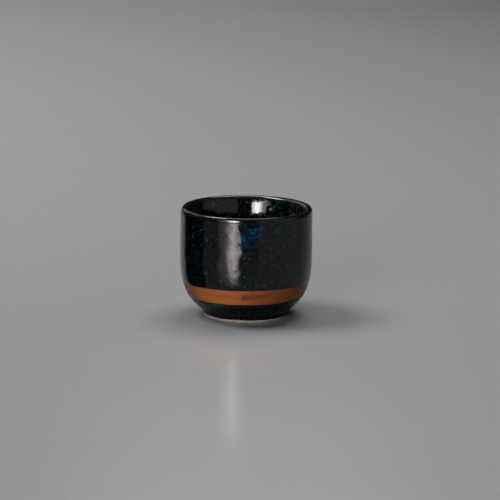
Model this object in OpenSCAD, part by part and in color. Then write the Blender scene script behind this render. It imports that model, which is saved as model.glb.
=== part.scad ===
// Small footed sake cup: one turned clay body under separate coats of fired glaze.
// Millimetres, +Z up, origin at the centre of the foot ring's resting face.

/* [Outside] */
// Height from the table to the crest of the lip
height = 48; // [42:0.5:60]
// Outside diameter at the widest point
belly_d = 58; // [54:0.5:72]
// Height of the widest point above the table
belly_z = 28; // [24:0.5:36]
// How far the wall leans in from the widest point to the lip
lip_lean = 0.15; // [0:0.05:1.5]
// Radius of the lip's outer side, from the wall to the crest
lip_outer_r = 1.1; // [0.8:0.1:1.5]
// Length of the curve's handle below the widest point, which keeps the flank upright
flank_handle = 11.9; // [8:0.1:15]
// Length of the curve's handle above the neck, which fills out the hip
hip_handle = 9.8; // [7:0.1:12]
// Slope of the underside where it meets the neck, from the vertical
underside_angle = 53; // [45:1:60]

/* [Foot] */
// Outside diameter of the foot ring
foot_d = 37.1; // [32:0.1:42]
// Height of the foot ring's upright side, below the neck
foot_side_h = 0.6; // [0.5:0.1:1.2]
// Radius of the hollow neck between the foot ring and the underside
neck_r = 3.5; // [2:0.1:5]
// Width of the foot ring's clay
foot_ring_w = 3.4; // [2:0.1:5]
// Chamfer on both edges of the foot ring's resting face
foot_chamfer = 0.4; // [0.2:0.1:0.5]
// Height of the foot ring that is left bare of glaze
bare_foot_h = 1; // [0.6:0.1:1.4]
// Height of the recess inside the foot ring
recess_h = 2.8; // [2.6:0.1:3.6]
// Radius between the recess's side and its ceiling
recess_r = 1.2; // [0.6:0.1:1.4]

/* [Inside] */
// Height of the bowl's floor above the table
floor_z = 6.4; // [5.6:0.1:9]
// Radius of the lip's inner side, from the crest to the bowl
lip_inner_r = 2; // [1.2:0.1:2.6]
// Slope of the bowl's wall where it flares out to the lip, from the vertical
lip_flare = 16; // [8:0.5:18]
// Radius of the flared stretch
flare_r = 56; // [40:1:64]
// Slope of the wall below that stretch, from the vertical
wall_draft = 2.5; // [1:0.5:4]
// Radius between the bowl's wall and its floor
floor_r = 14; // [8:0.5:18]

/* [Glaze] */
// Thickness of the black coats
glaze_t = 0.45; // [0.3:0.05:0.6]
// Thickness of the rust band
band_t = 0.3; // [0.2:0.05:0.45]
// Height of the rust band's lower edge above the table
band_z = 9.5; // [7:0.1:14]
// Height of the rust band
band_h = 7; // [3:0.1:12]

/* [Hidden] */
$fn = 128;

belly_r = belly_d / 2;
foot_r = foot_d / 2;
crest_r = belly_r - lip_lean - lip_outer_r;
wall_h = height - lip_outer_r - belly_z;
band_top = band_z + band_h;

// Steps along each curve
lip_steps = 12;
wall_steps = 10;
hip_steps = 40;
neck_steps = 10;
floor_steps = 24;
flare_steps = 12;
recess_steps = 8;

// Colours of the clay and the coats
clay_colour = [0.76, 0.72, 0.67];
black_colour = [0.09, 0.10, 0.12];
rust_colour = [0.52, 0.29, 0.16];

// A surface is a list of pairs: a point [radius, height] and the direction that faces out of the clay there.
function heading(a) = [cos(a), sin(a)];
function unit(v) = v / norm(v);
function reversed(list) = [for (i = [len(list) - 1:-1:0]) list[i]];

// Points of a surface, moved into the clay by a depth
function inset(surface, depth) = [for (s = surface) s[0] - depth * s[1]];

// Round stretch of a surface; side is 1 where it bulges and -1 where it is hollow
function arc(centre, r, from, to, steps, side) = [
    for (i = [0:steps])
        let (u = heading(from + (to - from) * i / steps))
            [centre + r * u, side * u]
];

// Neck: a hollow arc from the upright foot to the underside
neck_c = [foot_r + neck_r, foot_side_h];
neck = arc(neck_c, neck_r, 180, 180 - underside_angle, neck_steps, -1);

// Hip and flank: one cubic curve from the underside up to the widest point
hip_p0 = neck_c + neck_r * heading(180 - underside_angle);
hip_p1 = hip_p0 + hip_handle * [sin(underside_angle), cos(underside_angle)];
hip_p3 = [belly_r, belly_z];
hip_p2 = hip_p3 - [0, flank_handle];

function hip_point(t) =
    pow(1 - t, 3) * hip_p0 + 3 * pow(1 - t, 2) * t * hip_p1
    + 3 * (1 - t) * t * t * hip_p2 + pow(t, 3) * hip_p3;
function hip_run(t) =
    pow(1 - t, 2) * (hip_p1 - hip_p0) + 2 * (1 - t) * t * (hip_p2 - hip_p1) + t * t * (hip_p3 - hip_p2);
hip = [
    for (i = [1:hip_steps])
        let (t = i / hip_steps, run = unit(hip_run(t)))
            [hip_point(t), [run[1], -run[0]]]
];

// Upper wall: upright at the widest point and at the lip, leaning in between
wall = [
    for (i = [1:wall_steps])
        let (t = i / wall_steps, slope = lip_lean * 6 * t * (1 - t) / wall_h)
            [[belly_r - lip_lean * t * t * (3 - 2 * t), belly_z + wall_h * t], unit([1, slope])]
];

lip_outer_c = [crest_r, height - lip_outer_r];
lip_outer = [for (i = [1:lip_steps]) arc(lip_outer_c, lip_outer_r, 0, 90, lip_steps, 1)[i]];
outside = concat(neck, hip, wall, lip_outer);

// Bowl: rounded lip, a flared stretch that thins towards it, the wall, a hollow corner and the floor
lip_inner_c = [crest_r, height - lip_inner_r];
lip_inner = arc(lip_inner_c, lip_inner_r, 90, 180 - lip_flare, lip_steps, 1);
flare_c = lip_inner[lip_steps][0] - flare_r * heading(180 - lip_flare);
flare = [for (i = [1:flare_steps]) arc(flare_c, flare_r, 180 - lip_flare, 180 - wall_draft, flare_steps, 1)[i]];
flare_foot = flare_c + flare_r * heading(180 - wall_draft);

floor_c_z = floor_z + floor_r;
floor_c_r = flare_foot[0] - (flare_foot[1] - floor_c_z) * tan(wall_draft) - floor_r / cos(wall_draft);
corner = arc([floor_c_r, floor_c_z], floor_r, -wall_draft, -90, floor_steps, -1);
bowl = concat(lip_inner, flare, corner, [[[0, floor_z], [0, 1]]]);

// Recess under the cup: ceiling, hollow corner and the inner side of the foot ring
ring_outer_r = foot_r - glaze_t;
ring_inner_r = ring_outer_r - foot_ring_w;
recess_c = [ring_inner_r - glaze_t - recess_r, recess_h - recess_r];
recess = concat(
    [[[0, recess_h], [0, -1]]],
    arc(recess_c, recess_r, 90, 0, recess_steps, -1),
    [[[ring_inner_r - glaze_t, bare_foot_h], [-1, 0]]]
);

// Resting face of the foot ring, with its chamfered edges
resting_face = [
    [ring_inner_r, foot_chamfer],
    [ring_inner_r + foot_chamfer, 0],
    [ring_outer_r - foot_chamfer, 0],
    [ring_outer_r, foot_chamfer]
];

// Layer between two depths under a surface
module layer(surface, from, to) {
    polygon(concat(inset(surface, from), reversed(inset(surface, to))));
}

// Part of the outside between two heights
module between(low, high) {
    translate([0, low])
        square([belly_d, high - low]);
}

module clay_body() {
    color(clay_colour)
        rotate_extrude()
            polygon(concat(inset(recess, glaze_t), resting_face, inset(outside, glaze_t), inset(bowl, glaze_t)));
}

module inner_glaze() {
    color(black_colour)
        rotate_extrude()
            layer(bowl, 0, glaze_t);
}

module outer_glaze() {
    color(black_colour)
        rotate_extrude()
            intersection() {
                layer(outside, 0, glaze_t);
                between(band_top, height + glaze_t);
            }
}

module rust_band() {
    color(rust_colour)
        rotate_extrude()
            intersection() {
                layer(outside, glaze_t - band_t, glaze_t);
                between(band_z, band_top);
            }
}

module lower_glaze() {
    color(black_colour)
        rotate_extrude()
            intersection() {
                layer(outside, 0, glaze_t);
                between(bare_foot_h, band_z);
            }
}

module base_glaze() {
    color(black_colour)
        rotate_extrude()
            layer(recess, 0, glaze_t);
}

clay_body();
inner_glaze();
outer_glaze();
rust_band();
lower_glaze();
base_glaze();
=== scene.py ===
"""Looks of a small footed sake cup: turned clay, coats of glaze, floor, soft light and camera."""

import math

import bpy
import numpy as np
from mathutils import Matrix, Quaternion, Vector


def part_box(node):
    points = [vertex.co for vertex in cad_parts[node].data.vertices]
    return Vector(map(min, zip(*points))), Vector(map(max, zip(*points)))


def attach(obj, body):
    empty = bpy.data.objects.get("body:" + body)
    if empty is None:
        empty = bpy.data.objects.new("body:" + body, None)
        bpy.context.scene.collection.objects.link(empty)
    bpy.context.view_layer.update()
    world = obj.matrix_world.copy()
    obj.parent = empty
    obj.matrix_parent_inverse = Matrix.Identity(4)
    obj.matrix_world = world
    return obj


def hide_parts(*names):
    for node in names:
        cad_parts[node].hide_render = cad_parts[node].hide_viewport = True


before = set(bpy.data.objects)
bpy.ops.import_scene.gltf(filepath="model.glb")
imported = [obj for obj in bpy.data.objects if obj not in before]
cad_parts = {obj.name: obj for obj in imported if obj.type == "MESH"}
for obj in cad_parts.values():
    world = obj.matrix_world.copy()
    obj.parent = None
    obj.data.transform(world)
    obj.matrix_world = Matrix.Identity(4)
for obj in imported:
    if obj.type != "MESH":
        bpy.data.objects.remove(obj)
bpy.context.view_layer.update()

MM = 0.001

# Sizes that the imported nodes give
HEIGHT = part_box("outer_glaze")[1].z
BELLY_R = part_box("outer_glaze")[1].x
GLAZE_T = BELLY_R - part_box("clay_body")[1].x
CREST_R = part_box("inner_glaze")[1].x
FLOOR_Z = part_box("inner_glaze")[0].z + GLAZE_T
BAND_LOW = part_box("rust_band")[0].z
BAND_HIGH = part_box("rust_band")[1].z
BARE_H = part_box("lower_glaze")[0].z
RING_INNER_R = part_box("base_glaze")[1].x
RECESS_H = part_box("base_glaze")[1].z - GLAZE_T

# Shape of the turned outline, as the solids have it
LIP_OUTER_R = 1.1 * MM
LIP_INNER_R = 2 * MM
BELLY_Z = 28 * MM
FLANK_HANDLE = 11.9 * MM
HIP_HANDLE = 9.8 * MM
UNDERSIDE_DEG = 53
FOOT_R = 18.55 * MM
FOOT_SIDE_H = 0.6 * MM
FOOT_EDGE_R = 0.4 * MM
NECK_R = 3.5 * MM
RECESS_R = 1.2 * MM
LIP_FLARE_DEG = 16
FLARE_R = 56 * MM
WALL_DRAFT_DEG = 2.5
FLOOR_R = 14 * MM
BAND_T = 0.3 * MM

# Edges of the coats
EDGE_ROUND = 0.35 * MM
FOOT_EDGE_ROUND = 0.5 * MM
BEAD_T = 0.07 * MM
BEAD_W = 1.1 * MM
FEATHER = 0.02 * MM
EDGE_WAVE = 0.07 * MM
BAND_HIGH_SWAY = 0.12 * MM
BAND_HIGH_SAG = 0.33 * MM
BAND_HIGH_DROP = 0.24 * MM
BAND_LOW_TILT = 0.2 * MM
BAND_LOW_DROP = 0.02 * MM

# Thin glaze on the lip, and the side where the lip is pressed in
LIP_THINNING = 0.2 * MM
LIP_THINS_FROM = 2.8 * MM
LIP_THINNEST_AT = 1.1 * MM
LIP_CREST_SHARE = 0.25
LIP_NIP = 0.5 * MM
LIP_NIP_TURN = math.radians(-97)
LIP_NIP_REACH = math.radians(38)
LIP_NIP_H = 3.4 * MM

# Waves of the glaze, calmer inside, and ridges that the brush left in the band
GLAZE_WAVE = 0.014 * MM
GLAZE_WAVE_LIMIT = 2.7
GLAZE_WAVE_SINK = 0.04 * MM
GLAZE_WAVE_INSIDE = 0.12
GLAZE_CALMS_OVER = 2 * MM
BRUSH_RIDGE = 0.010 * MM
BRUSH_PITCH = 1.3 * MM
BRUSH_SWAY = 2

# Lumps in the glaze: turn from the camera's side in degrees, height, reach and rise in millimetres
OUTER_LUMPS = [
    (-3.3, 33.4, 1.3, 0.09), (-8.7, 36.9, 1.2, 0.035), (-9.2, 25.6, 1.1, 0.04), (-10.6, 29.6, 1.0, 0.03),
    (-8.8, 22.4, 1.2, 0.03), (64, 31, 1.2, 0.05),
]
INNER_LUMPS = [(156.2, 42.6, 0.9, 0.22), (-150, 40, 1.0, 0.05), (97, 37, 0.9, 0.05)]

# Fineness of the outline and the meshes
OUTLINE_STEP = 0.03 * MM
WALL_POINTS = 120
FLARE_POINTS = 120
CORNER_POINTS = 200
AROUND = 256
TURN = np.linspace(-math.pi, math.pi, AROUND, endpoint=False)
BACK_ROWS = 16
NORMAL_STEP = 0.02 * MM
NORMAL_TURN = 0.002

# Limits below which points fall together, a ring lies on the axis and a face has no direction
SAME_PLACE = 1e-9
ON_AXIS = 1e-7
NO_AREA = 1e-14


# Outline

def heading(degrees):
    return np.array([math.cos(math.radians(degrees)), math.sin(math.radians(degrees))])


def arc(centre, radius, start, end, count=60):
    angles = np.radians(np.linspace(start, end, count))
    return np.asarray(centre) + radius * np.stack([np.cos(angles), np.sin(angles)], 1)


def bezier(p0, p1, p2, p3, count=240):
    t = np.linspace(0, 1, count)[:, None]
    return (1 - t) ** 3 * p0 + 3 * (1 - t) ** 2 * t * p1 + 3 * (1 - t) * t**2 * p2 + t**3 * p3


class Path:
    """A turned outline: points [radius, height] by distance along it, and the way out of the clay."""

    def __init__(self, *stretches):
        rough = np.concatenate(stretches)
        gaps = np.linalg.norm(np.diff(rough, axis=0), axis=1)
        rough = rough[np.concatenate([[True], gaps > SAME_PLACE])]
        run = np.concatenate([[0], np.cumsum(np.linalg.norm(np.diff(rough, axis=0), axis=1))])
        self.length = run[-1]
        self.s = np.linspace(0, self.length, int(self.length / OUTLINE_STEP))
        self.points = np.stack([np.interp(self.s, run, rough[:, k]) for k in (0, 1)], 1)
        tangent = np.gradient(self.points, axis=0)
        tangent /= np.linalg.norm(tangent, axis=1)[:, None]
        self.normals = np.stack([tangent[:, 1], -tangent[:, 0]], 1)

    def point(self, s):
        return np.stack([np.interp(s, self.s, self.points[:, k]) for k in (0, 1)], -1)

    def normal(self, s):
        return np.stack([np.interp(s, self.s, self.normals[:, k]) for k in (0, 1)], -1)

    def under_glaze(self, s):
        """Points of the clay's face below the coat."""
        return self.point(s) - GLAZE_T * self.normal(s)


def skin_path():
    """The glazed surface from the neck up the outside, over the lip and down the bowl to its floor."""
    neck_c = np.array([FOOT_R + NECK_R, FOOT_SIDE_H])
    neck = arc(neck_c, NECK_R, 180, 180 - UNDERSIDE_DEG)
    hip_start = neck[-1]
    hip_end = np.array([BELLY_R, BELLY_Z])
    hip = bezier(
        hip_start,
        hip_start + HIP_HANDLE * heading(90 - UNDERSIDE_DEG),
        hip_end - np.array([0, FLANK_HANDLE]),
        hip_end,
    )
    wall_top = HEIGHT - LIP_OUTER_R
    lean = BELLY_R - LIP_OUTER_R - CREST_R
    t = np.linspace(0, 1, WALL_POINTS)
    wall = np.stack([BELLY_R - lean * t * t * (3 - 2 * t), BELLY_Z + (wall_top - BELLY_Z) * t], 1)
    lip_outer = arc([CREST_R, wall_top], LIP_OUTER_R, 0, 90)
    lip_inner = arc([CREST_R, HEIGHT - LIP_INNER_R], LIP_INNER_R, 90, 180 - LIP_FLARE_DEG)
    flare_c = lip_inner[-1] - FLARE_R * heading(180 - LIP_FLARE_DEG)
    flare = arc(flare_c, FLARE_R, 180 - LIP_FLARE_DEG, 180 - WALL_DRAFT_DEG, FLARE_POINTS)
    draft = math.radians(WALL_DRAFT_DEG)
    corner_z = FLOOR_Z + FLOOR_R
    corner_r = flare[-1][0] - (flare[-1][1] - corner_z) * math.tan(draft) - FLOOR_R / math.cos(draft)
    corner = arc([corner_r, corner_z], FLOOR_R, -WALL_DRAFT_DEG, -90, CORNER_POINTS)
    return Path(neck, hip, wall, lip_outer, lip_inner, flare, corner, [[0, FLOOR_Z]])


def recess_path():
    """The glazed surface under the cup, from its middle out to the bare foot ring."""
    side_r = RING_INNER_R - GLAZE_T
    corner = arc([side_r - RECESS_R, RECESS_H - RECESS_R], RECESS_R, 90, 0)
    return Path([[0, RECESS_H]], corner, [[side_r, BARE_H]])


skin = skin_path()
recess = recess_path()
crest = int(np.argmax(skin.points[:, 1]))
S_CREST = skin.s[crest]


def outside_at(height):
    """Distance along the skin at which the outside reaches a height."""
    return np.interp(height, skin.points[: crest + 1, 1], skin.s[: crest + 1])


def inside_at(height):
    """Distance along the skin at which the bowl's wall reaches a height."""
    return np.interp(-height, -skin.points[crest:, 1], skin.s[crest:])


# Unevenness

def wave_field(seed, shortest, longest, waves=32):
    """A smooth random field in space, of unit strength, made of plane waves."""
    rng = np.random.default_rng(seed)
    ways = rng.normal(size=(waves, 3))
    ways /= np.linalg.norm(ways, axis=1)[:, None]
    ways *= 2 * math.pi / rng.uniform(shortest, longest, (waves, 1))
    phases = rng.uniform(0, 2 * math.pi, waves)
    return lambda p: np.sin(p @ ways.T + phases).sum(-1) / math.sqrt(waves / 2)


def edge_field(seed, lobes=11, weakest=0.4):
    """A smooth random curve round the cup, of about unit strength, with slow lobes strongest."""
    rng = np.random.default_rng(seed)
    counts = np.arange(2, lobes + 1)
    sizes = rng.uniform(weakest, 1, len(counts)) / np.sqrt(counts)
    phases = rng.uniform(0, 2 * math.pi, len(counts))
    return lambda turn: (sizes * np.sin(turn[..., None] * counts + phases)).sum(-1)


glaze_wave = wave_field(seed=11, shortest=3.5 * MM, longest=9 * MM)
ridge_wave = wave_field(seed=12, shortest=14 * MM, longest=40 * MM)
upper_edge = edge_field(seed=21)
lower_edge = edge_field(seed=22)
foot_edge = edge_field(seed=23)


def band_high(turn):
    """Upper edge of the band, which sags at the two sides."""
    drift = BAND_HIGH_SWAY * np.sin(2 * turn) - BAND_HIGH_SAG * (1 - np.cos(2 * turn)) - BAND_HIGH_DROP
    return outside_at(BAND_HIGH + drift + EDGE_WAVE * upper_edge(turn))


def band_low(turn):
    """Lower edge of the band, which tilts a little."""
    drift = BAND_LOW_TILT * np.sin(turn) - BAND_LOW_DROP
    return outside_at(BAND_LOW + drift + EDGE_WAVE * lower_edge(turn))


def foot_line(turn):
    """Line above the bare foot where the lower coat ends."""
    return outside_at(BARE_H + EDGE_WAVE * foot_edge(turn))


def smooth(value, low, high):
    x = np.clip((value - low) / (high - low), 0, 1)
    return x * x * (3 - 2 * x)


def rounding(distance, width):
    """Rises from 0 to 1 over a width, as the rounded edge of a coat does."""
    x = np.clip(distance / width, 0, 1)
    return np.sqrt(1 - (1 - x) ** 2)


def bead(distance):
    """A soft roll of glaze close to a coat's edge."""
    x = np.clip(distance / BEAD_W, 0, None)
    return x * np.exp(1 - x)


def in_space(radius, height, turn):
    """Places radius and height at a turn from the side that faces the camera."""
    return np.stack([radius * np.sin(turn), -radius * np.cos(turn), height + 0 * turn], -1)


def nipped(radius, height, turn):
    """Radius with the lip pressed in a little at one side, as a potter's hand leaves it."""
    off = (turn - LIP_NIP_TURN + math.pi) % (2 * math.pi) - math.pi
    side = np.exp(-((off / LIP_NIP_REACH) ** 2))
    return radius - LIP_NIP * side * smooth(height, HEIGHT - LIP_NIP_H, HEIGHT)


def turned_in_space(rz, turn):
    """Places points [radius, height] in space, with the lip's pressed side."""
    return in_space(nipped(np.maximum(rz[..., 0], 0), rz[..., 1], turn), rz[..., 1], turn)


def lumps(place):
    """Rise of the small lumps in the glaze at places on the skin."""
    rise = 0.0
    for listed, reached in ((OUTER_LUMPS, outside_at), (INNER_LUMPS, inside_at)):
        for turn, height, reach, lift in listed:
            r, z = skin.point(reached(height * MM))
            far = np.linalg.norm(place - in_space(r, z, np.radians(turn)), axis=-1)
            rise = rise + lift * MM * np.exp(-((far / (reach * MM)) ** 2))
    return rise


def lip_thinness(s):
    """Share of the lip's thinning: most just outside the crest, less on the crest and inside."""
    off_crest = np.abs(s - S_CREST)
    outside = smooth(off_crest, LIP_THINS_FROM, LIP_THINNEST_AT)
    outside = outside * (1 - (1 - LIP_CREST_SHARE) * smooth(off_crest, LIP_THINNEST_AT, 0))
    inside = LIP_CREST_SHARE * smooth(off_crest, LIP_THINS_FROM, 0)
    return np.where(s > S_CREST, inside, outside)


def black_glaze_t(s, turn):
    """Thickness of the continuous black coat, before its edges."""
    at = skin.point(s)
    place = in_space(at[..., 0], at[..., 1], turn)
    calm = (1 - GLAZE_WAVE_INSIDE) * smooth(s, S_CREST, S_CREST + GLAZE_CALMS_OVER)
    wave = np.clip(glaze_wave(place) * (1 - calm), -GLAZE_WAVE_LIMIT, GLAZE_WAVE_LIMIT)
    plain = GLAZE_T - GLAZE_WAVE_SINK - LIP_THINNING * lip_thinness(s)
    return plain + GLAZE_WAVE * wave + lumps(place)


def outer_t(s, turn):
    up = s - band_high(turn)
    full = black_glaze_t(s, turn) + BEAD_T * bead(up)
    return BAND_T + (full - BAND_T) * rounding(up, EDGE_ROUND)


def lower_t(s, turn):
    down = band_low(turn) - s
    up = s - foot_line(turn)
    full = black_glaze_t(s, turn) + BEAD_T * bead(up)
    thick = BAND_T + (full - BAND_T) * rounding(down, EDGE_ROUND)
    return FEATHER + (thick - FEATHER) * rounding(up, FOOT_EDGE_ROUND)


def band_t(s, turn):
    at = skin.point(s)
    slow = ridge_wave(in_space(at[..., 0], at[..., 1], turn))
    ridges = np.sin(2 * math.pi * s / BRUSH_PITCH + BRUSH_SWAY * slow)
    ends = rounding(s - band_low(turn), EDGE_ROUND) * rounding(band_high(turn) - s, EDGE_ROUND)
    return BAND_T - BRUSH_RIDGE * (1 + ridges) * ends


def base_t(s, turn):
    return FEATHER + (GLAZE_T - FEATHER) * rounding(recess.length - s, FOOT_EDGE_ROUND)


# Turned meshes

def coat_points(path, thickness, s, turn):
    """Points of a coat's face, at its thickness over the clay."""
    lift = thickness(s, turn) - GLAZE_T
    return turned_in_space(path.point(s) + lift[..., None] * path.normal(s), turn)


def coat_normals(path, thickness, s, turn):
    """Directions that a coat's face looks in, from points a short step to each side."""
    low = coat_points(path, thickness, np.clip(s - NORMAL_STEP, 0, path.length), turn)
    high = coat_points(path, thickness, np.clip(s + NORMAL_STEP, 0, path.length), turn)
    left = coat_points(path, thickness, s, turn - NORMAL_TURN)
    right = coat_points(path, thickness, s, turn + NORMAL_TURN)
    normal = np.cross(right - left, high - low)
    size = np.linalg.norm(normal, axis=-1, keepdims=True)
    out = path.normal(s)
    plain = in_space(out[..., 0], out[..., 1], turn)
    return np.where(size > NO_AREA, normal / np.maximum(size, NO_AREA), plain)


def on_axis(ring):
    return np.abs(ring[:, :2]).max() < ON_AXIS


def link(made):
    bpy.context.scene.collection.objects.link(made)
    return made


def turned_mesh(name, rings, map_rows, normals=None, closed=False):
    """A mesh of rings round the axis, mapped by rows; open ends on the axis become single points."""
    count = len(rings)
    verts, first, single, kept_normals = [], [], [], []
    for k, ring in enumerate(rings):
        first.append(len(verts))
        single.append(on_axis(ring))
        taken = 1 if single[k] else AROUND
        verts.extend(map(tuple, ring[:taken]))
        if normals is not None:
            kept_normals.extend(map(tuple, normals[k][:taken]))
    faces, corners = [], []
    for k in range(count if closed else count - 1):
        above = (k + 1) % count
        v0 = map_rows[k]
        v1 = map_rows[above] if above else 1.0
        for j in range(AROUND):
            after = (j + 1) % AROUND
            u0, u1 = j / AROUND, (j + 1) / AROUND
            a, b = first[k] + j, first[k] + after
            c, d = first[above] + after, first[above] + j
            if single[k]:
                faces.append((first[k], c, d))
                corners += [(u0 + u1) / 2, v0, u1, v1, u0, v1]
            elif single[above]:
                faces.append((a, b, first[above]))
                corners += [u0, v0, u1, v0, (u0 + u1) / 2, v1]
            else:
                faces.append((a, b, c, d))
                corners += [u0, v0, u1, v0, u1, v1, u0, v1]
    mesh = bpy.data.meshes.new(name)
    mesh.from_pydata(verts, [], faces)
    mesh.uv_layers.new(name="OFBake").data.foreach_set("uv", corners)
    mesh.polygons.foreach_set("use_smooth", [True] * len(faces))
    if normals is not None:
        mesh.normals_split_custom_set_from_vertices(kept_normals)
    mesh.update()
    return link(bpy.data.objects.new(name, mesh))


def spaced(stops):
    """Rows from 0 to 1 along a coat: each stop gives where a stretch ends and how many rows it holds."""
    rows = [0.0]
    for end, count in stops:
        rows += list(np.linspace(rows[-1], end, count + 1)[1:])
    return np.array(rows)


# Share of a coat's map that its face takes, and where its back lies in the rest
MAP_FACE_SHARE = 0.92
MAP_BACK_FROM = 0.1
MAP_BACK_TO = 0.9


def coat(name, path, thickness, start, end, rows):
    """A closed skin of glaze on the clay, from one line round the cup to another."""
    begin = start(TURN)
    reach = end(TURN) - begin
    rings, normals = [], []
    for u in rows:
        s = begin + reach * u
        rings.append(coat_points(path, thickness, s, TURN))
        normals.append(coat_normals(path, thickness, s, TURN))
    for u in np.linspace(1, 0, BACK_ROWS):
        s = begin + reach * u
        out = path.normal(s)
        rings.append(turned_in_space(path.under_glaze(s), TURN))
        normals.append(-in_space(out[:, 0], out[:, 1], TURN))
    back_rows = (1 - MAP_FACE_SHARE) * np.linspace(MAP_BACK_FROM, MAP_BACK_TO, BACK_ROWS)
    map_rows = np.concatenate([rows * MAP_FACE_SHARE, MAP_FACE_SHARE + back_rows])
    starts_on_axis = on_axis(rings[0])
    ends_on_axis = on_axis(rings[len(rows) - 1])
    order = list(range(len(rings)))
    if ends_on_axis:
        order = order[len(rows):] + order[:len(rows)]
    return turned_mesh(
        name,
        [rings[k] for k in order],
        map_rows[order],
        [normals[k] for k in order],
        closed=not (starts_on_axis or ends_on_axis),
    )


# Rows of the clay: under the cup, round the foot ring's edges, along its face, and up the outside
CLAY_UNDER_ROWS = 30
CLAY_EDGE_ROWS = 8
CLAY_FACE_ROWS = 22
CLAY_LOW_ROWS = 14
CLAY_HIGH_ROWS = 150
CLAY_LOW_H = BARE_H + 0.5 * MM


def clay_mesh(name):
    """The whole clay body, with finer rows where the bare foot ring shows."""
    inner_edge_c = [RING_INNER_R + FOOT_EDGE_R, FOOT_EDGE_R]
    outer_edge_c = [FOOT_R - GLAZE_T - FOOT_EDGE_R, FOOT_EDGE_R]
    under = recess.under_glaze(np.linspace(0, recess.length, CLAY_UNDER_ROWS))
    foot = np.concatenate([
        np.linspace([RING_INNER_R, BARE_H], [RING_INNER_R, FOOT_EDGE_R], CLAY_EDGE_ROWS)[1:-1],
        arc(inner_edge_c, FOOT_EDGE_R, 180, 270, CLAY_EDGE_ROWS),
        np.linspace([inner_edge_c[0], 0], [outer_edge_c[0], 0], CLAY_FACE_ROWS)[1:-1],
        arc(outer_edge_c, FOOT_EDGE_R, -90, 0, CLAY_EDGE_ROWS),
    ])
    low_s = outside_at(CLAY_LOW_H)
    high_rows = np.linspace(low_s, skin.length, CLAY_HIGH_ROWS)[1:]
    body = skin.under_glaze(np.concatenate([np.linspace(0, low_s, CLAY_LOW_ROWS), high_rows]))
    outline = np.concatenate([under, foot, body])
    rings = [in_space(nipped(max(r, 0), z, TURN), z, TURN) for r, z in outline]
    return turned_mesh(name, rings, np.linspace(0, 1, len(rings)))


# Nodes of materials

def per_mm(size):
    """Texture scale at which one cell or wave is that many millimetres."""
    return 1 / (size * MM)


def colour(red, green, blue):
    return (red, green, blue, 1.0)


def feed(tree, socket, value):
    if isinstance(value, bpy.types.NodeSocket):
        tree.links.new(value, socket)
    else:
        socket.default_value = value


def add(tree, kind, inputs, **settings):
    made = tree.nodes.new(kind)
    for key, value in settings.items():
        setattr(made, key, value)
    for key, value in inputs.items():
        feed(tree, made.inputs[key], value)
    return made


def mixed(tree, factor, a, b):
    return add(tree, "ShaderNodeMix", {0: factor, 6: a, 7: b}, data_type="RGBA").outputs[2]


def ranged(tree, value, low, high, to_low=0.0, to_high=1.0, soft=True):
    inputs = {"Value": value, "From Min": low, "From Max": high, "To Min": to_low, "To Max": to_high}
    made = add(tree, "ShaderNodeMapRange", inputs, interpolation_type="SMOOTHSTEP" if soft else "LINEAR")
    return made.outputs[0]


def maths(tree, operation, a, b=0.0):
    return add(tree, "ShaderNodeMath", {0: a, 1: b}, operation=operation).outputs[0]


def product(tree, *values):
    total = values[0]
    for value in values[1:]:
        total = maths(tree, "MULTIPLY", total, value)
    return total


def scaled(tree, tint, amount):
    return add(tree, "ShaderNodeVectorMath", {0: tint, "Scale": amount}, operation="SCALE").outputs[0]


def summed(tree, *tints):
    total = tints[0]
    for tint in tints[1:]:
        total = add(tree, "ShaderNodeVectorMath", {0: total, 1: tint}, operation="ADD").outputs[0]
    return total


def split(tree, vector):
    return add(tree, "ShaderNodeSeparateXYZ", {0: vector}).outputs


def noise_of(tree, vector, size_mm, detail=2.0, roughness=0.5):
    inputs = {"Vector": vector, "Scale": per_mm(size_mm), "Detail": detail, "Roughness": roughness}
    return add(tree, "ShaderNodeTexNoise", inputs).outputs[0]


def shaken(tree, vector, size_mm, reach_mm):
    """Coordinates moved about by a small noise, so that what they carry is less regular."""
    noise = add(tree, "ShaderNodeTexNoise", {"Vector": vector, "Scale": per_mm(size_mm), "Detail": 1.0})
    inputs = {0: noise.outputs["Color"], 1: (0.5, 0.5, 0.5)}
    centred = add(tree, "ShaderNodeVectorMath", inputs, operation="SUBTRACT").outputs[0]
    return summed(tree, vector, scaled(tree, centred, 2 * reach_mm * MM))


# Size of the smallest specks next to the largest, and the share of a speck that is full
SPECK_SMALLEST = 0.5
SPECK_CORE = 0.05


def crystals(tree, vector, cell_mm, reach, share, even=False):
    """Scattered specks, by reach in cells and the share of cells that hold one, and a lot for each."""
    cells = add(tree, "ShaderNodeTexVoronoi", {"Vector": vector, "Scale": per_mm(cell_mm)})
    lots = add(tree, "ShaderNodeSeparateColor", {0: cells.outputs["Color"]}).outputs
    size = ranged(tree, lots[2], 0.0, 1.0, SPECK_SMALLEST * reach, reach, soft=False)
    body = ranged(tree, maths(tree, "DIVIDE", cells.outputs["Distance"], size), 1.0, SPECK_CORE)
    drawn = ranged(tree, lots[0], 1 - share, 1.0, soft=False)
    if not even:
        drawn = product(tree, drawn, drawn)
    return product(tree, body, drawn), lots[1]


def tinted(tree, lot, *stops):
    """A colour picked along a row of tints by a lot from 0 to 1."""
    ramp = add(tree, "ShaderNodeValToRGB", {0: lot})
    points = ramp.color_ramp.elements
    while len(points) < len(stops):
        points.new(0.5)
    for k, stop in enumerate(stops):
        points[k].position = k / (len(stops) - 1)
        points[k].color = stop
    return ramp.outputs[0]


def new_material(name):
    made = bpy.data.materials.new(name)
    made.use_nodes = True
    tree = made.node_tree
    place = add(tree, "ShaderNodeTexCoord", {}).outputs["Object"]
    return made, tree, tree.nodes["Principled BSDF"], place


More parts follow.
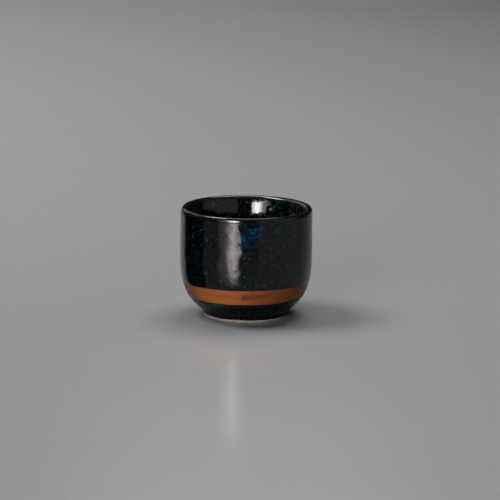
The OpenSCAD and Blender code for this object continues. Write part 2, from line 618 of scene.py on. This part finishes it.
def roughen(tree, shader, pattern, depth):
    """Gives a material's surface the fine relief of a pattern."""
    bump = add(tree, "ShaderNodeBump", {"Height": pattern, "Strength": 1.0, "Distance": depth})
    feed(tree, shader.inputs["Normal"], bump.outputs[0])


# Black glaze

# Deep blue patches: turn from the camera's side in degrees, height and reach in millimetres, strength
BLUE_PATCHES = [
    (5.6, 41.9, 1.9, 1.0), (8.4, 40.1, 1.5, 0.8), (3.2, 43.0, 1.4, 0.65), (13.2, 43.5, 1.7, 0.6),
    (-2.6, 39.0, 1.8, 0.9), (-4.1, 36.2, 1.8, 1.0), (0.6, 36.3, 1.3, 0.5), (-7.6, 42.2, 1.4, 0.5),
    (6.0, 41.0, 6.2, 0.20), (-2.5, 37.3, 5.2, 0.17), (46.7, 44.1, 2.2, 0.26), (27.5, 42.1, 1.6, 0.45),
    (-40.7, 27.1, 2.1, 0.09), (-39.0, 24.2, 1.8, 0.08), (11.5, 38.6, 1.3, 0.35),
    (120, 31, 2.2, 0.8), (126, 33.5, 1.7, 0.6), (171, 38, 2.2, 0.9), (176, 35, 1.7, 0.7),
]
INNER_PATCHES = [(151, 43.6, 1.7, 0.75), (147.5, 44.2, 1.4, 0.6)]
INNER_PATCH_R = 26.2 * MM

# Blooms of blue crystals, and places on the cup's left side where the glaze's colour is dimmed as painted
# shade, given in the same way
BLUE_BLOOMS = [
    (10.5, 43.2, 3.5, 0.9), (4.5, 41.0, 4.5, 1.0), (-2.5, 37.0, 3.5, 1.0), (-4.0, 42.5, 2.5, 0.7),
    (27, 42.3, 2.5, 0.3), (49, 44.2, 4, 0.35), (-44, 27.5, 5, 0.15), (-58, 40, 6, 0.10),
    (75, 36, 6, 0.6), (118, 30, 8, 0.8), (172, 37, 7, 1.0), (-128, 40, 6, 0.8),
]
LEFT_SHADE_PLACES = [(-54, 41, 16, 0.3), (-52, 28, 16, 0.4)]

# Share of a place's reach inside which it has its full strength
PLACE_CORE = 0.15

# Tints of the crystals, and how strong each kind shows
BLUE = colour(0.03, 0.26, 0.85)
TEAL = colour(0.10, 0.55, 0.62)
LEAF = colour(0.34, 0.52, 0.40)
VIOLET = colour(0.34, 0.30, 0.52)
PALE = colour(0.62, 0.80, 0.88)
FINE_STRENGTH = 0.042
SOME_STRENGTH = 0.13
BLOOM_STRENGTH = 0.065
PATCH_STRENGTH = 0.112

# Tints of the mottle and of the thin glaze on the lip
BLACK = colour(0, 0, 0)
MOTTLE_COOL = colour(0.0065, 0.0125, 0.0150)
MOTTLE_WARM = colour(0.0085, 0.0130, 0.0090)
THIN_GLAZE = colour(0.0065, 0.0090, 0.0070)
THIN_COVER = 0.8
THIN_FROM = HEIGHT - 2.2 * MM
THIN_FULL = HEIGHT - 0.3 * MM

# Tints that are summed as vectors: the patches' blue and the glaze's own depth, shiny and matt
DEEP_BLUE = (0.0, 0.31, 0.85)
GLAZE_DEPTH = (0.0001, 0.0007, 0.0016)
MATT_DEPTH = (0.0042, 0.0040, 0.0034)

# Shine, and how pale and full of crystals the coats are next to the outer one
GLAZE_IOR = 1.335
LINING_IOR = 1.35
MATT_IOR = 1.18
GLAZE_ROUGHNESS = 0.05
MATT_ROUGHNESS = 0.22
LINING_RICHNESS = 1.9
MATT_RICHNESS = 0.5
CLOUDED_SHARE = 0.55
PEEL_DEPTH = 0.025 * MM


def place_mask(tree, place, listed, radius=BELLY_R):
    """Strength of the listed places at a point, each strongest at its middle."""
    mask = 0.0
    for turn, height, reach, strength in listed:
        a = math.radians(turn)
        centre = (radius * math.sin(a), -radius * math.cos(a), height * MM)
        measure = add(tree, "ShaderNodeVectorMath", {0: place, 1: centre}, operation="DISTANCE")
        far = measure.outputs["Value"]
        spot = ranged(tree, far, reach * MM, PLACE_CORE * reach * MM, 0, strength)
        mask = maths(tree, "MAXIMUM", spot, mask)
    return mask


def glaze_ground(tree, place, mottle, richness, depth):
    """Colour of the glaze between its crystals: near black, with a mottle of two hues in clouds."""
    cloud = ranged(tree, noise_of(tree, place, size_mm=7, detail=3, roughness=0.6), 0.35, 0.65)
    hue = ranged(tree, noise_of(tree, place, size_mm=2.3, detail=1), 0.38, 0.62)
    tone = mixed(tree, mottle, BLACK, mixed(tree, hue, MOTTLE_COOL, MOTTLE_WARM))
    tone = scaled(tree, tone, ranged(tree, cloud, 0, 1, richness, CLOUDED_SHARE * richness))
    return summed(tree, tone, depth)


def glaze_crystals(tree, place, richness):
    """Fine crystals of many tints and some larger, paler ones."""
    loose = shaken(tree, place, size_mm=1.6, reach_mm=0.25)
    fine, fine_lot = crystals(tree, loose, cell_mm=1.1, reach=0.6, share=0.7)
    some, some_lot = crystals(tree, loose, cell_mm=2.1, reach=0.44, share=0.5)
    fine_tint = tinted(tree, fine_lot, BLUE, TEAL, LEAF, VIOLET)
    some_tint = tinted(tree, some_lot, TEAL, PALE, LEAF, VIOLET)
    return summed(
        tree,
        scaled(tree, fine_tint, product(tree, fine, FINE_STRENGTH * richness)),
        scaled(tree, some_tint, product(tree, some, SOME_STRENGTH * richness)),
    )


def glaze_blues(tree, place):
    """Blooms of blue crystals, and deep blue patches with ragged edges."""
    apart = shaken(tree, place, size_mm=1.0, reach_mm=0.7)
    blue, blue_lot = crystals(tree, apart, cell_mm=2.5, reach=0.66, share=1.0, even=True)
    blue_tint = tinted(tree, blue_lot, BLUE, BLUE, BLUE, TEAL)
    blooms = place_mask(tree, place, BLUE_BLOOMS)
    adrift = shaken(tree, place, size_mm=1.5, reach_mm=0.8)
    outer_patches = place_mask(tree, adrift, BLUE_PATCHES)
    inner_patches = place_mask(tree, adrift, INNER_PATCHES, INNER_PATCH_R)
    patches = maths(tree, "MAXIMUM", outer_patches, inner_patches)
    return summed(
        tree,
        scaled(tree, blue_tint, product(tree, blue, blooms, BLOOM_STRENGTH)),
        scaled(tree, DEEP_BLUE, product(tree, patches, PATCH_STRENGTH)),
    )


def black_glaze_material(name, ior, roughness, richness=1.0, depth=GLAZE_DEPTH):
    """Black glaze with fine crystals, dimmed on the cup's left side by painted shade; a richer one is
    paler and holds more of them.
    """
    made, tree, shader, place = new_material(name)
    mottle = ranged(tree, noise_of(tree, place, size_mm=1.3, detail=1), 0.45, 0.75)
    ground = glaze_ground(tree, place, mottle, richness, depth)
    tone = summed(tree, ground, glaze_crystals(tree, place, richness))
    # Painted shade: the glaze's colour is dimmed over the listed places on the cup's left side
    left_shade_keep = ranged(tree, place_mask(tree, place, LEFT_SHADE_PLACES), 0, 1, 1, 0, soft=False)
    tone = summed(tree, scaled(tree, tone, left_shade_keep), glaze_blues(tree, place))
    thin = ranged(tree, split(tree, place)["Z"], THIN_FROM, THIN_FULL, 0, THIN_COVER)
    feed(tree, shader.inputs["Base Color"], mixed(tree, thin, tone, THIN_GLAZE))
    feed(tree, shader.inputs["Roughness"], ranged(tree, mottle, 0, 1, roughness, 2 * roughness))
    roughen(tree, shader, noise_of(tree, place, size_mm=1.7, detail=1), PEEL_DEPTH)
    shader.inputs["IOR"].default_value = ior
    return made


# Rust glaze

# Darker brush strokes on the band: the turns in degrees between which one runs, and its rise at each
BRUSH_STROKES = [(-5, 36, 0.22, 0.66), (96, 150, 0.30, 0.70), (-150, -95, 0.15, 0.55)]
STROKE_COVER = 0.75
STROKE_TOP = 0.80
STROKE_TOP_SOFT = 0.15
STROKE_UNDER_SOFT = 0.12
STROKE_START_SOFT = 0.03
STROKE_RAGGED_TURN = 0.03
STROKE_RAGGED_RISE = 0.2
STROKE_TAPERS_FROM = 0.5

# Painted light and shade on the band: palest where the light falls, at one turn and its repeats, darker
# between them, and a painted shade darkest near another turn on its left side
BAND_PAINTED_LIGHT_TURN = math.radians(-18)
BAND_PAINTED_LIGHT_LOBES = 3
BAND_PAINTED_SHADE_COVER = 0.75
BAND_SIDE_SHADE_TURN = math.radians(-80)
BAND_SIDE_SHADE_CORE = math.radians(10)
BAND_SIDE_SHADE_REACH = math.radians(42)
BAND_SIDE_SHADE_COVER = 0.55

# Tints of the band from its lower edge up, and of what lies over them
RUST_RISE = [
    colour(0.335, 0.107, 0.024),
    colour(0.364, 0.115, 0.026),
    colour(0.338, 0.108, 0.039),
    colour(0.294, 0.100, 0.059),
]
RUST_CLOUD = colour(0.16, 0.044, 0.012)
RUST_PALE_HAIR = colour(0.33, 0.114, 0.026)
RUST_DARK_HAIR = colour(0.14, 0.036, 0.012)
# Painted shade: tints of the darker lobes and of the band's shaded left side
RUST_PAINTED_SHADE = colour(0.088, 0.023, 0.007)
RUST_SIDE_SHADE = colour(0.058, 0.013, 0.003)
RUST_STROKE = colour(0.117, 0.034, 0.020)
CLOUD_COVER = 0.45
HAIR_COVER = 0.22
HAIR_STRETCH = 6
HAIR_DEPTH = 0.02 * MM
RUST_IOR = 1.15
RUST_SMOOTHEST = 0.34
RUST_ROUGHEST = 0.46


def stroke_mask(tree, turn, rise, rough):
    """Wedges of thicker colour that start at a blunt edge and taper along the band."""
    ragged_turn = maths(tree, "ADD", turn, product(tree, rough, STROKE_RAGGED_TURN))
    ragged_rise = maths(tree, "ADD", rise, product(tree, rough, STROKE_RAGGED_RISE))
    below_top = ranged(tree, rise, STROKE_TOP, STROKE_TOP - STROKE_TOP_SOFT)
    mask = 0.0
    for start, end, low, high in BRUSH_STROKES:
        a, b = math.radians(start), math.radians(end)
        along = ranged(tree, turn, a, b, soft=False)
        begun = ranged(tree, ragged_turn, a, a + STROKE_START_SOFT)
        ended = ranged(tree, along, 1.0, STROKE_TAPERS_FROM)
        under = ranged(tree, along, 0, 1, low, high, soft=False)
        above = ranged(tree, maths(tree, "SUBTRACT", ragged_rise, under), 0.0, STROKE_UNDER_SOFT)
        mask = maths(tree, "MAXIMUM", product(tree, begun, above, below_top, ended), mask)
    return mask


def rust_glaze_material():
    """Rust glaze brushed round the cup, with long hairs and darker strokes, and painted light and shade:
    paler and darker lobes round it and a darker left side.
    """
    made, tree, shader, place = new_material("rust_glaze")
    spot = split(tree, place)
    rise = ranged(tree, spot["Z"], BAND_LOW, BAND_HIGH, soft=False)
    turn = maths(tree, "ARCTAN2", spot["X"], maths(tree, "MULTIPLY", spot["Y"], -1.0))
    long = add(tree, "ShaderNodeMapping", {"Vector": place, "Scale": (1, 1, HAIR_STRETCH)}).outputs[0]
    cloud = noise_of(tree, long, size_mm=30)
    hair = noise_of(tree, long, size_mm=6, detail=3, roughness=0.55)
    rough = maths(tree, "SUBTRACT", hair, 0.5)
    tone = tinted(tree, rise, *RUST_RISE)
    tone = mixed(tree, ranged(tree, cloud, 0.55, 0.35, 0, CLOUD_COVER), tone, RUST_CLOUD)
    tone = mixed(tree, ranged(tree, hair, 0.5, 0.75, 0, HAIR_COVER), tone, RUST_PALE_HAIR)
    tone = mixed(tree, ranged(tree, hair, 0.5, 0.25, 0, HAIR_COVER), tone, RUST_DARK_HAIR)
    # Painted light and shade: paler where the light falls and at its repeats, darker between them, and a
    # painted shade on the left side
    from_painted_light = maths(tree, "SUBTRACT", turn, BAND_PAINTED_LIGHT_TURN)
    lobes = maths(tree, "COSINE", product(tree, from_painted_light, BAND_PAINTED_LIGHT_LOBES))
    tone = mixed(tree, ranged(tree, lobes, 1, -1, 0, BAND_PAINTED_SHADE_COVER, soft=False), tone, RUST_PAINTED_SHADE)
    from_side_shade = maths(tree, "ABSOLUTE", maths(tree, "SUBTRACT", turn, BAND_SIDE_SHADE_TURN))
    dark = ranged(tree, from_side_shade, BAND_SIDE_SHADE_CORE, BAND_SIDE_SHADE_REACH, BAND_SIDE_SHADE_COVER, 0)
    tone = mixed(tree, dark, tone, RUST_SIDE_SHADE)
    strokes = stroke_mask(tree, turn, rise, rough)
    tone = mixed(tree, product(tree, strokes, STROKE_COVER), tone, RUST_STROKE)
    feed(tree, shader.inputs["Base Color"], tone)
    roughness = ranged(tree, hair, 0.3, 0.7, RUST_SMOOTHEST, RUST_ROUGHEST)
    feed(tree, shader.inputs["Roughness"], roughness)
    roughen(tree, shader, hair, HAIR_DEPTH)
    shader.inputs["IOR"].default_value = RUST_IOR
    return made


# Bare clay

CLAY_DARK = colour(0.245, 0.218, 0.194)
CLAY_PALE = colour(0.32, 0.29, 0.262)
CLAY_SPECK = colour(0.105, 0.072, 0.053)
CLAY_ROUGHNESS = 0.82
GRIT_DEPTH = 0.04 * MM


def bare_clay_material():
    """Pale fired clay with soft clouds, small dark specks and grit."""
    made, tree, shader, place = new_material("bare_clay")
    cloud = ranged(tree, noise_of(tree, place, size_mm=3, detail=4, roughness=0.6), 0.3, 0.7)
    specks = crystals(tree, place, cell_mm=0.8, reach=0.3, share=0.4)[0]
    tone = mixed(tree, specks, mixed(tree, cloud, CLAY_DARK, CLAY_PALE), CLAY_SPECK)
    feed(tree, shader.inputs["Base Color"], tone)
    shader.inputs["Roughness"].default_value = CLAY_ROUGHNESS
    grit = noise_of(tree, place, size_mm=0.25, detail=3, roughness=0.6)
    roughen(tree, shader, grit, GRIT_DEPTH)
    return made


# Pieces

def dress(piece, node, material):
    piece.data.materials.append(material)
    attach(piece, "root")
    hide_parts(node)


def at_crest(turn):
    return np.full_like(turn, S_CREST)


def at_floor(turn):
    return np.full_like(turn, skin.length)


def at_recess_middle(turn):
    return np.zeros_like(turn)


def at_recess_edge(turn):
    return np.full_like(turn, recess.length)


black = black_glaze_material("black_glaze", GLAZE_IOR, GLAZE_ROUGHNESS)
lining_black = black_glaze_material("lining_glaze", LINING_IOR, GLAZE_ROUGHNESS, LINING_RICHNESS)
matt_black = black_glaze_material(
    "matt_black_glaze", MATT_IOR, MATT_ROUGHNESS, MATT_RICHNESS, MATT_DEPTH
)
rust = rust_glaze_material()
clay = bare_clay_material()

OUTER_ROWS = spaced([(0.04, 14), (0.945, 76), (1.0, 26)])
INNER_ROWS = spaced([(0.055, 36), (0.35, 46), (0.85, 60), (1.0, 16)])
BAND_ROWS = spaced([(0.06, 8), (0.94, 56), (1.0, 8)])
LOWER_ROWS = spaced([(0.06, 12), (0.94, 48), (1.0, 12)])
BASE_ROWS = spaced([(0.8, 16), (0.95, 16), (1.0, 12)])

outer = coat("outer_glaze_coat", skin, outer_t, band_high, at_crest, OUTER_ROWS)
inner = coat("inner_glaze_coat", skin, black_glaze_t, at_crest, at_floor, INNER_ROWS)
band = coat("rust_band_coat", skin, band_t, band_low, band_high, BAND_ROWS)
lower = coat("lower_glaze_coat", skin, lower_t, foot_line, band_low, LOWER_ROWS)
base = coat("base_glaze_coat", recess, base_t, at_recess_middle, at_recess_edge, BASE_ROWS)
body = clay_mesh("clay_body_turned")

dress(outer, "outer_glaze", black)
dress(inner, "inner_glaze", lining_black)
dress(band, "rust_band", rust)
dress(lower, "lower_glaze", matt_black)
dress(base, "base_glaze", black)
dress(body, "clay_body", clay)


# Floor and black cards

# Grey of the floor, the share by which all of it is darker, and how far its shade may change
FLOOR_TONE = 0.312
FLOOR_DARKER = 0.042
FLOOR_GAIN_LOW = -0.3
FLOOR_GAIN_HIGH = 0.8
# How much it pales per metre to the back, in general and before the cup, and per square metre across
FLOOR_PALES_BACK = 0.42
FLOOR_PALES_FRONT = -0.3
FLOOR_PALES_ACROSS = -1.4
# Distances aside in metres between which the slope before the cup gives way to the other
FLOOR_FRONT_FROM = 0.02
FLOOR_FRONT_TO = 0.12
FLOOR_ROUGHNESS = 0.19
FLOOR_HALF = 4.0

# Corners of the black cards in millimetres
SIDE_FLAG = [(-44, -29.5, 0), (-44, 10.4, 0), (-60, 30, 60), (-60, -32.6, 60)]
FRONT_FLAG = [(-6, -235, 0), (100, -235, 0), (100, -235, 14), (-6, -235, 14)]
FLAG_TONE = colour(0.002, 0.002, 0.002)


def floor_material():
    """Plain grey paper that pales a little towards the back, most on the left."""
    made, tree, shader, place = new_material("floor")
    spot = split(tree, place)
    aside = maths(tree, "ABSOLUTE", spot["X"])
    slope = ranged(tree, aside, FLOOR_FRONT_FROM, FLOOR_FRONT_TO, FLOOR_PALES_FRONT, FLOOR_PALES_BACK)
    front = product(tree, spot["Y"], slope)
    back = product(tree, spot["Y"], FLOOR_PALES_BACK)
    gain = maths(tree, "SUBTRACT", maths(tree, "MAXIMUM", back, front), FLOOR_DARKER)
    gain = maths(tree, "ADD", gain, product(tree, spot["X"], spot["Y"], FLOOR_PALES_ACROSS))
    darkest = (1 + FLOOR_GAIN_LOW) * FLOOR_TONE
    palest = (1 + FLOOR_GAIN_HIGH) * FLOOR_TONE
    tone = ranged(tree, gain, FLOOR_GAIN_LOW, FLOOR_GAIN_HIGH, darkest, palest, soft=False)
    grey = add(tree, "ShaderNodeCombineColor", {0: tone, 1: tone, 2: tone}).outputs[0]
    feed(tree, shader.inputs["Base Color"], grey)
    shader.inputs["Roughness"].default_value = FLOOR_ROUGHNESS
    return made


def make_floor():
    mesh = bpy.data.meshes.new("floor")
    corners = [(-1, -1), (1, -1), (1, 1), (-1, 1)]
    mesh.from_pydata([(x * FLOOR_HALF, y * FLOOR_HALF, 0) for x, y in corners], [], [(0, 1, 2, 3)])
    mesh.materials.append(floor_material())
    link(bpy.data.objects.new("floor", mesh))


def make_flag(name, corners, first_fade, last_fade, density=1.0):
    """A black card near the cup, soft at two sides, that shows only as a dark reflection."""
    mesh = bpy.data.meshes.new(name)
    mesh.from_pydata([Vector(corner) * MM for corner in corners], [], [(0, 1, 2, 3)])
    mesh.uv_layers.new(name="across").data.foreach_set("uv", [0, 0, 1, 0, 1, 1, 0, 1])
    card, tree, shader, _ = new_material(name)
    shader.inputs["Base Color"].default_value = FLAG_TONE
    shader.inputs["Specular IOR Level"].default_value = 0.0
    share = split(tree, add(tree, "ShaderNodeTexCoord", {}).outputs["UV"])["X"]
    first = ranged(tree, share, 0, first_fade, 0, density)
    last = ranged(tree, share, 1, 1 - last_fade)
    clear = add(tree, "ShaderNodeBsdfTransparent", {}).outputs[0]
    inputs = {0: product(tree, first, last), 1: clear, 2: shader.outputs[0]}
    blend = add(tree, "ShaderNodeMixShader", inputs)
    feed(tree, tree.nodes["Material Output"].inputs["Surface"], blend.outputs[0])
    mesh.materials.append(card)
    flag = link(bpy.data.objects.new(name, mesh))
    flag.visible_camera = False
    flag.visible_diffuse = False
    flag.visible_shadow = False


# Light

CENTRE = Vector((0, 0, HEIGHT / 2))
WHITE = (1, 1, 1)

# The window's tint, the place of its middle, and how its curtain fades it by shares of its width
WINDOW_TINT = (1, 0.93, 0.90)
WINDOW_TURN = -35.5
WINDOW_RISE = 12.3
CURTAIN_FROM = 0.36
CURTAIN_TO = 0.76
CURTAIN_DIMS_FROM = 0.74
CURTAIN_RIGHT_LEVEL = 0.45
CURTAIN_TAIL_FROM = 0.16
CURTAIN_TAIL_TO = 0.47
CURTAIN_TAIL_LEVEL = 0.11

# Greys of the surroundings, and how far up a ray points where one gives way to the other
WORLD_LOW = colour(0.01, 0.01, 0.01)
WORLD_HIGH = colour(0.02, 0.02, 0.02)
WORLD_LOW_Z = 0.2
WORLD_HIGH_Z = 0.6


def way(turn, rise):
    """Direction from the cup at a turn from the camera's side and a rise above the table, in degrees."""
    a, e = math.radians(turn), math.radians(rise)
    return Vector((math.sin(a) * math.cos(e), -math.cos(a) * math.cos(e), math.sin(e)))


def soft_box(
    name, turn, rise, distance, width, height, radiance, tint=WHITE, lights=True, shows=True
):
    """A soft lamp of a given radiance that faces the cup and lights it, shows in reflections, or both."""
    lamp = bpy.data.lights.new(name, "AREA")
    lamp.shape = "RECTANGLE"
    lamp.size = width
    lamp.size_y = height
    lamp.energy = radiance * math.pi * width * height
    lamp.color = tint
    placed = link(bpy.data.objects.new(name, lamp))
    placed.location = CENTRE + distance * way(turn, rise)
    placed.rotation_mode = "QUATERNION"
    placed.rotation_quaternion = way(turn, rise).to_track_quat("Z", "Y")
    placed.visible_camera = False
    placed.visible_diffuse = lights
    placed.visible_glossy = shows
    return lamp


def lamp_share(lamp):
    """Node tree of a lamp and the share of its width, from left to right."""
    lamp.use_nodes = True
    tree = lamp.node_tree
    across = add(tree, "ShaderNodeNewGeometry", {}).outputs["Parametric"]
    return tree, split(tree, across)["X"]


def dimmed(lamp, share_from, share_to):
    """Fades a lamp out towards its right, between two shares of its width."""
    tree, share = lamp_share(lamp)
    level = ranged(tree, share, share_from, share_to, 1.0, 0.0)
    feed(tree, tree.nodes["Emission"].inputs["Strength"], level)


def curtain(lamp):
    """Fades a lamp out towards its left, with a faint tail, and a little towards its right."""
    tree, share = lamp_share(lamp)
    fade = ranged(tree, share, CURTAIN_FROM, CURTAIN_TO)
    right = ranged(tree, share, CURTAIN_DIMS_FROM, 1, 1, CURTAIN_RIGHT_LEVEL)
    tail = ranged(tree, share, CURTAIN_TAIL_FROM, CURTAIN_TAIL_TO, 0, CURTAIN_TAIL_LEVEL)
    level = maths(tree, "MAXIMUM", product(tree, fade, fade, right), tail)
    feed(tree, tree.nodes["Emission"].inputs["Strength"], level)


def make_world():
    world = bpy.data.worlds.new("studio")
    world.use_nodes = True
    bpy.context.scene.world = world
    tree = world.node_tree
    ray = add(tree, "ShaderNodeTexCoord", {}).outputs["Generated"]
    high = ranged(tree, split(tree, ray)["Z"], WORLD_LOW_Z, WORLD_HIGH_Z)
    feed(tree, tree.nodes["Background"].inputs["Color"], mixed(tree, high, WORLD_LOW, WORLD_HIGH))


def make_lamps():
    """Lamps that light the scene, and shines and cards that only show in reflections."""
    soft_box("key_box", -100, 60, distance=1.6, width=0.66, height=0.66, radiance=14.0, shows=False)
    soft_box("key_shine", -94, 60, distance=1.6, width=0.66, height=0.66, radiance=22.0, lights=False)
    soft_box("top_box", 150, 70, distance=1.8, width=1.0, height=1.0, radiance=7.4, shows=False)
    soft_box("back_shine", 176, 62, distance=1.7, width=0.8, height=0.8, radiance=8.0, lights=False)
    curtain(soft_box(
        "window", WINDOW_TURN, WINDOW_RISE,
        distance=1.5, width=1.336, height=0.40, radiance=25.5, tint=WINDOW_TINT,
    ))
    curtain(soft_box(
        "window_shine", WINDOW_TURN, WINDOW_RISE,
        distance=1.47, width=1.31, height=0.392, radiance=21.5, tint=WINDOW_TINT, lights=False,
    ))
    right_card = soft_box(
        "right_card", 70, 14, distance=1.0, width=2.4, height=0.5, radiance=0.56, lights=False
    )
    dimmed(right_card, share_from=0.52, share_to=0.84)
    soft_box("back_card", -147, 24, distance=1.5, width=0.75, height=0.9, radiance=0.6, lights=False)
    soft_box("sky_card", 0, 75, distance=2.2, width=3.0, height=3.0, radiance=0.2, lights=False)
    soft_box("left_card", -124, 38, distance=1.55, width=1.1, height=0.75, radiance=0.85, lights=False)


# Camera, with the pixels of the picture's middle and of the cup's middle in it

CAMERA_RISE = 11.69
CAMERA_FAR = 1.2
CAMERA_ROLL = 0.61
CAMERA_LENS = 197.3
CAMERA_CLIP_NEAR = 0.05
CAMERA_CLIP_FAR = 20
PIXELS_PER_M = 2283
MIDDLE_PIXEL = 250
CUP_PIXEL_X = 246
CUP_PIXEL_Y = 260.2
AIM_RIGHT = (MIDDLE_PIXEL - CUP_PIXEL_X) / PIXELS_PER_M
AIM_UP = (CUP_PIXEL_Y - MIDDLE_PIXEL) / PIXELS_PER_M


def make_camera():
    data = bpy.data.cameras.new("camera")
    data.lens = CAMERA_LENS
    data.clip_start = CAMERA_CLIP_NEAR
    data.clip_end = CAMERA_CLIP_FAR
    camera = link(bpy.data.objects.new("camera", data))
    back = way(0, CAMERA_RISE)
    facing = back.to_track_quat("Z", "Y") @ Quaternion((0, 0, 1), math.radians(CAMERA_ROLL))
    camera.rotation_mode = "QUATERNION"
    camera.rotation_quaternion = facing
    camera.location = CENTRE + facing @ Vector((AIM_RIGHT, AIM_UP, 0)) + CAMERA_FAR * back
    bpy.context.scene.camera = camera


make_floor()
make_flag("side_flag", SIDE_FLAG, first_fade=0.06, last_fade=0.33)
make_flag("front_flag", FRONT_FLAG, first_fade=0.15, last_fade=0.2, density=0.75)
make_world()
make_lamps()
make_camera()
bpy.context.scene.view_settings.view_transform = "Standard"
